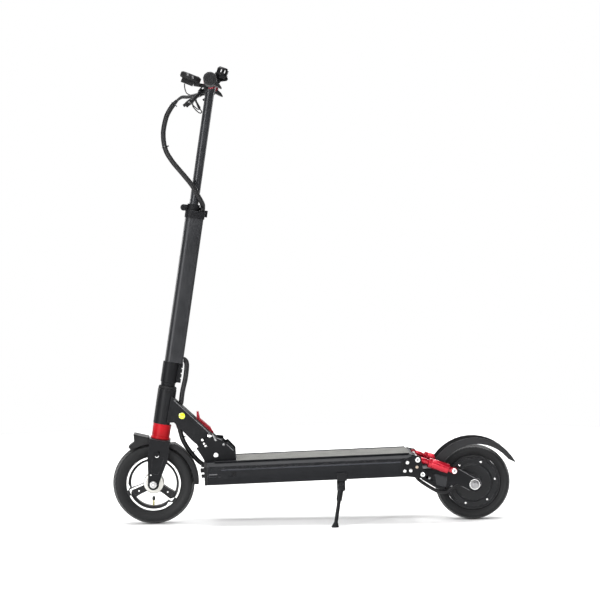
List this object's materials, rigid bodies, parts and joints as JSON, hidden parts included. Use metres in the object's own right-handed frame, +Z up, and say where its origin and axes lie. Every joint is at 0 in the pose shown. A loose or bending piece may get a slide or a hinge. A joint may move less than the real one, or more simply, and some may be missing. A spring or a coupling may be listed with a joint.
{
  "type": "folding electric kick scooter",
  "caption": "Folding kick scooter with a hub motor, telescopic stem, folding handlebars, sprung wheels, hand brakes and a side stand.",
  "frame": {"origin": "centre of the bounding box on the floor that the tyres and the stand touch", "axes": "+X towards the rear, +Y towards the rider's right, +Z up; the scooter faces -X"},
  "size_m": [1.0629, 0.55, 1.198],
  "materials": {
    "deck_metal": "black anodised extrusion",
    "frame_paint": "satin black powder coat on cast alloy",
    "stem_metal": "black anodised tube",
    "bar_metal": "black painted alloy",
    "grip_tape": "light grey sanded tape",
    "black_plastic": "black moulded nylon",
    "gloss_black": "glossy black moulding",
    "rubber": "black soft rubber",
    "tyre": "black tyre rubber",
    "red_metal": "red anodised",
    "red_rubber": "red elastomer",
    "rim_metal": "machined and black painted alloy",
    "steel": "zinc plated steel",
    "motor_metal": "black painted cast alloy",
    "battery_wrap": "blue shrink wrap",
    "controller_case": "bare alloy case",
    "cable_jacket": "black cable jacket"
  },
  "bodies": {
    "deck": {"deck_extrusion": "deck_metal", "grip_tape": "grip_tape", "deck_front_cap": "black_plastic", "battery_pack": "battery_wrap", "controller": "controller_case", "hinge_bracket": "frame_paint", "fold_pivot_bolt": "steel", "rear_bracket": "frame_paint", "swingarm_pivot_bolt": "steel", "shock_top_bolt": "steel", "kickstand_bracket": "frame_paint"},
    "neck": {"neck": "bar_metal", "lower_headset_bearing": "steel", "upper_headset_bearing": "steel", "neck_cable": "cable_jacket"},
    "fold_lever": {"fold_lever": "red_metal"},
    "steering": {"steerer": "frame_paint", "headset_cap": "black_plastic", "lower_stem": "stem_metal", "stem_clamp": "bar_metal", "suspension_boot": "red_rubber", "handlebar_cable": "cable_jacket", "stem_cable": "cable_jacket"},
    "clamp_lever": {"clamp_lever": "frame_paint"},
    "fork": {"fork": "bar_metal", "front_fender": "black_plastic", "front_axle": "steel", "front_spring": "steel"},
    "front_wheel": {"front_tyre": "tyre", "front_rim": "rim_metal", "front_hub_bearings": "steel"},
    "upper_stem": {"upper_stem": "stem_metal"},
    "left_bar": {"left_bar": "bar_metal", "left_grip": "rubber", "left_lever_mount": "bar_metal", "bell_body": "black_plastic"},
    "left_bar_sleeve": {"left_bar_sleeve": "red_metal"},
    "left_brake_lever": {"left_brake_lever": "bar_metal"},
    "bell_striker": {"bell_striker": "steel"},
    "right_bar": {"right_bar": "bar_metal", "right_grip": "rubber", "right_lever_mount": "bar_metal", "display_housing": "gloss_black"},
    "right_bar_sleeve": {"right_bar_sleeve": "red_metal"},
    "right_brake_lever": {"right_brake_lever": "bar_metal"},
    "throttle_trigger": {"throttle_trigger": "black_plastic"},
    "power_button": {"power_button": "black_plastic"},
    "mode_button": {"mode_button": "black_plastic"},
    "swingarm": {"swingarm": "bar_metal", "rear_fender": "black_plastic", "motor_axle": "steel", "motor_cable": "cable_jacket"},
    "rear_wheel": {"rear_tyre": "tyre", "motor_shell": "motor_metal", "motor_cover": "motor_metal"},
    "left_shock_rod": {"left_shock_rod": "red_metal"},
    "right_shock_rod": {"right_shock_rod": "red_metal"},
    "left_shock_body": {"left_shock_body": "red_metal"},
    "right_shock_body": {"right_shock_body": "red_metal"},
    "kickstand": {"kickstand_leg": "frame_paint"}
  },
  "joints": [
    {"name": "stem_fold", "type": "hinge", "parent": "deck", "child": "neck", "pos_m": [-0.25834, 0, 0.1843], "axis": [0, 1, 0], "range_deg": [0, 80], "deforming": ["neck_cable"]},
    {"name": "fold_lever_lift", "type": "hinge", "parent": "neck", "child": "fold_lever", "pos_m": [-0.27422, 0, 0.23434], "axis": [0, 1, 0], "range_deg": [0, 35]},
    {"name": "steering", "type": "hinge", "parent": "neck", "child": "steering", "pos_m": [-0.4235, 0, 0.108], "axis": [0.1547, 0, 0.988], "range_deg": [-55, 55], "deforming": ["stem_cable"]},
    {"name": "front_suspension", "type": "slide", "parent": "steering", "child": "fork", "axis": [-0.1547, 0, -0.988], "range_m": [-0.012, 0], "stiffness_N_per_m": 12000, "springref_m": 0.02, "deforming": ["suspension_boot", "front_spring"]},
    {"name": "front_wheel_spin", "type": "hinge", "parent": "fork", "child": "front_wheel", "pos_m": [-0.4235, 0, 0.108], "axis": [0, 1, 0], "continuous": true},
    {"name": "stem_slide", "type": "slide", "parent": "steering", "child": "upper_stem", "axis": [0.1547, 0, 0.988], "range_m": [-0.2, 0], "deforming": ["handlebar_cable"]},
    {"name": "clamp_lever_open", "type": "hinge", "parent": "steering", "child": "clamp_lever", "pos_m": [-0.33498, 0.021, 0.83486], "axis": [0.1547, 0, 0.988], "range_deg": [0, 110]},
    {"name": "left_bar_fold", "type": "hinge", "parent": "upper_stem", "child": "left_bar", "pos_m": [-0.25907, -0.085, 1.158], "axis": [0.988, 0, -0.1547], "range_deg": [0, 90]},
    {"name": "right_bar_fold", "type": "hinge", "parent": "upper_stem", "child": "right_bar", "pos_m": [-0.25907, 0.085, 1.158], "axis": [-0.988, 0, 0.1547], "range_deg": [0, 90]},
    {"name": "left_sleeve_slide", "type": "slide", "parent": "left_bar", "child": "left_bar_sleeve", "axis": [0, -1, 0], "range_m": [0, 0.011]},
    {"name": "right_sleeve_slide", "type": "slide", "parent": "right_bar", "child": "right_bar_sleeve", "axis": [0, 1, 0], "range_m": [0, 0.011]},
    {"name": "left_brake_pull", "type": "hinge", "parent": "left_bar", "child": "left_brake_lever", "pos_m": [-0.2816, -0.1485, 1.13254], "axis": [-0.749, 0, 0.6626], "range_deg": [0, 22], "stiffness_Nm_per_rad": 1, "springref_deg": -6.88},
    {"name": "right_brake_pull", "type": "hinge", "parent": "right_bar", "child": "right_brake_lever", "pos_m": [-0.28837, 0.1485, 1.14075], "axis": [0.5075, 0, -0.8616], "range_deg": [0, 22], "stiffness_Nm_per_rad": 1, "springref_deg": -6.88},
    {"name": "throttle_pull", "type": "hinge", "parent": "right_bar", "child": "throttle_trigger", "pos_m": [-0.32471, 0.124, 1.17211], "axis": [-0.3746, 0, -0.9272], "range_deg": [0, 25], "stiffness_Nm_per_rad": 0.12, "springref_deg": -8.59},
    {"name": "power_press", "type": "slide", "parent": "right_bar", "child": "power_button", "axis": [0.3746, 0, 0.9272], "range_m": [-0.0008, 0], "stiffness_N_per_m": 900, "springref_m": 0.0006},
    {"name": "mode_press", "type": "slide", "parent": "right_bar", "child": "mode_button", "axis": [0.3746, 0, 0.9272], "range_m": [-0.0008, 0], "stiffness_N_per_m": 900, "springref_m": 0.0006},
    {"name": "bell_flick", "type": "hinge", "parent": "left_bar", "child": "bell_striker", "pos_m": [-0.23201, -0.1165, 1.17249], "axis": [0.3453, 0, 0.9385], "range_deg": [0, 20], "stiffness_Nm_per_rad": 0.02, "springref_deg": -11.46},
    {"name": "rear_suspension", "type": "hinge", "parent": "deck", "child": "swingarm", "pos_m": [0.2815, 0, 0.1318], "axis": [0, 1, 0], "range_deg": [-9, 0], "stiffness_Nm_per_rad": 300, "springref_deg": 11.46, "deforming": ["motor_cable"]},
    {"name": "rear_wheel_spin", "type": "hinge", "parent": "swingarm", "child": "rear_wheel", "pos_m": [0.4207, 0, 0.0995], "axis": [0, 1, 0], "continuous": true},
    {"name": "left_shock_rod_turn", "type": "hinge", "parent": "deck", "child": "left_shock_rod", "pos_m": [0.2696, -0.0793, 0.1705], "axis": [0, 1, 0], "range_deg": [-7.5, 0]},
    {"name": "left_shock_body_turn", "type": "hinge", "parent": "swingarm", "child": "left_shock_body", "pos_m": [0.3649, -0.0793, 0.1379], "axis": [0, 1, 0], "range_deg": [0, 2.5]},
    {"name": "right_shock_rod_turn", "type": "hinge", "parent": "deck", "child": "right_shock_rod", "pos_m": [0.2696, 0.0793, 0.1705], "axis": [0, 1, 0], "range_deg": [-7.5, 0]},
    {"name": "right_shock_body_turn", "type": "hinge", "parent": "swingarm", "child": "right_shock_body", "pos_m": [0.3649, 0.0793, 0.1379], "axis": [0, 1, 0], "range_deg": [0, 2.5]},
    {"name": "kickstand_fold", "type": "hinge", "parent": "deck", "child": "kickstand", "pos_m": [0.0688, -0.084, 0.1052], "axis": [0, -0.9285, 0.3714], "range_deg": [0, 90]}
  ],
  "couplings": [
    {"joint": "left_shock_rod_turn", "follows": "rear_suspension", "ratio": 0.7756},
    {"joint": "left_shock_body_turn", "follows": "rear_suspension", "ratio": -0.2244},
    {"joint": "right_shock_rod_turn", "follows": "rear_suspension", "ratio": 0.7756},
    {"joint": "right_shock_body_turn", "follows": "rear_suspension", "ratio": -0.2244}
  ]
}
